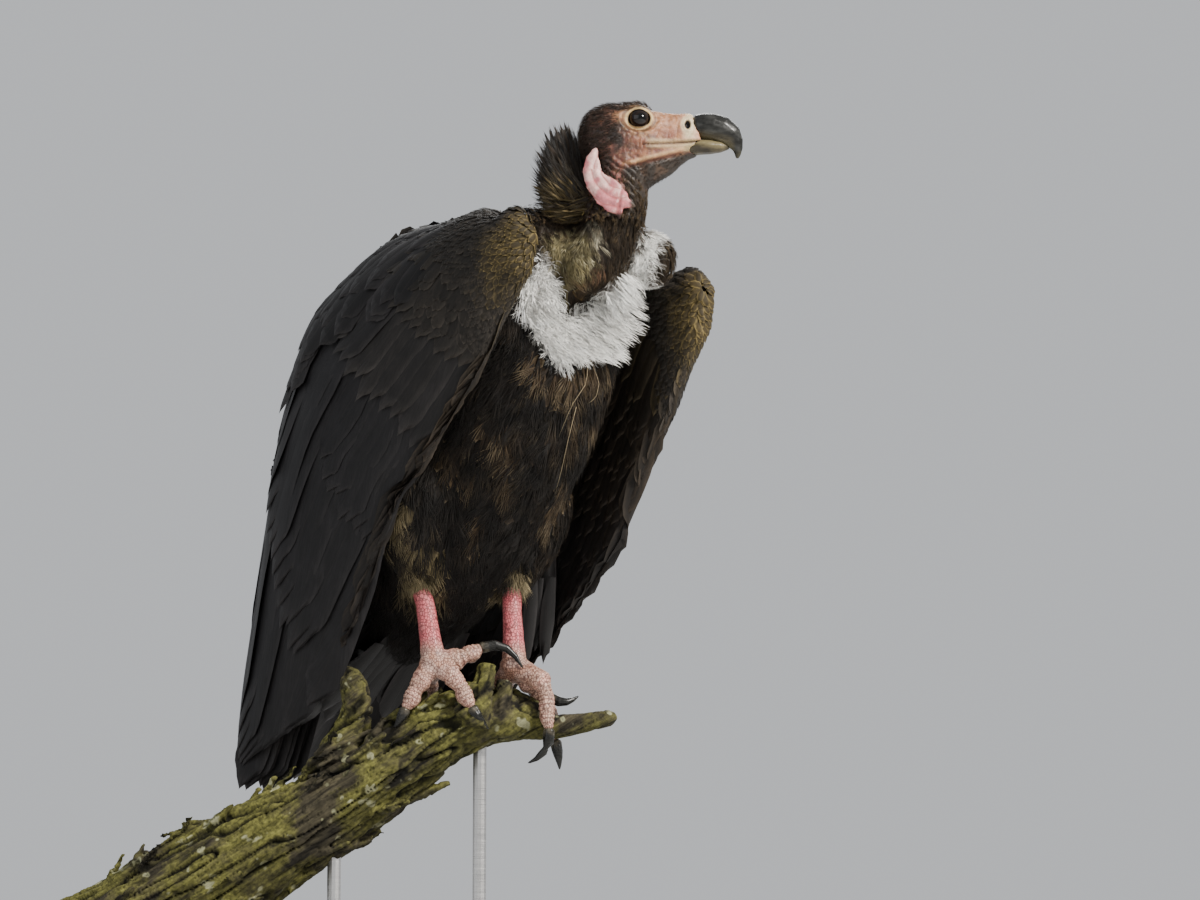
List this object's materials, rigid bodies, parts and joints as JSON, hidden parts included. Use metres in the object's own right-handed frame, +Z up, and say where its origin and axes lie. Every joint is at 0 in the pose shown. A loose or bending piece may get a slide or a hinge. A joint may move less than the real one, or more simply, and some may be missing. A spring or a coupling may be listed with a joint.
{
  "type": "red-headed vulture",
  "caption": "Life-size adult red-headed vulture, wings folded and head in profile, gripping a cut length of branch held on a round plinth by two rods.",
  "frame": {"origin": "middle of the round plinth's underside, on the floor", "axes": "+Z up, the bird's body faces -Y and its left side is +X; its head is turned 45 degrees to its left"},
  "size_m": [0.4288, 0.5249, 0.8633],
  "materials": {
    "flight_feather": "near-black slate-brown flight feathers, satin",
    "body_feather": "soft black-brown body feathers, matte",
    "ruff_feather": "dark brown hackles with golden streaks, matte",
    "red_skin": "bare red-brown to orange-tan skin, finely wrinkled",
    "pink_skin": "bare pink wattle skin, finely wrinkled",
    "cere": "smooth cream-pink skin",
    "leg_skin": "pink-red net-scaled skin",
    "horn": "dark grey horn of bill and claws, polished",
    "eye": "dark brown wet eye",
    "bark": "weathered bark with yellow-green moss and pale lichen",
    "plinth": "dark stained wood, satin",
    "rod": "satin steel"
  },
  "bodies": {
    "root": {"head": "red_skin", "cere": "cere", "bill_upper": "horn", "bill_lower": "horn", "eye_right": "eye", "eye_left": "eye", "lappet_right": "pink_skin", "lappet_left": "pink_skin", "neck": "red_skin", "ruff": "ruff_feather", "trunk": "body_feather", "tail": "flight_feather", "wing_right_coverts": "flight_feather", "wing_right_secondaries": "flight_feather", "wing_right_primaries": "flight_feather", "wing_left_coverts": "flight_feather", "wing_left_secondaries": "flight_feather", "wing_left_primaries": "flight_feather", "thigh_right": "body_feather", "tarsus_right": "leg_skin", "thigh_left": "body_feather", "tarsus_left": "leg_skin", "toe_right_inner": "leg_skin", "toe_right_middle": "leg_skin", "toe_right_outer": "leg_skin", "toe_right_hind": "leg_skin", "toe_left_inner": "leg_skin", "toe_left_middle": "leg_skin", "toe_left_outer": "leg_skin", "toe_left_hind": "leg_skin", "claw_right_inner": "horn", "claw_right_middle": "horn", "claw_right_outer": "horn", "claw_right_hind": "horn", "claw_left_inner": "horn", "claw_left_middle": "horn", "claw_left_outer": "horn", "claw_left_hind": "horn", "perch_branch": "bark", "stand_base": "plinth", "stand_rod_1": "rod", "stand_rod_2": "rod"}
  },
  "joints": []
}
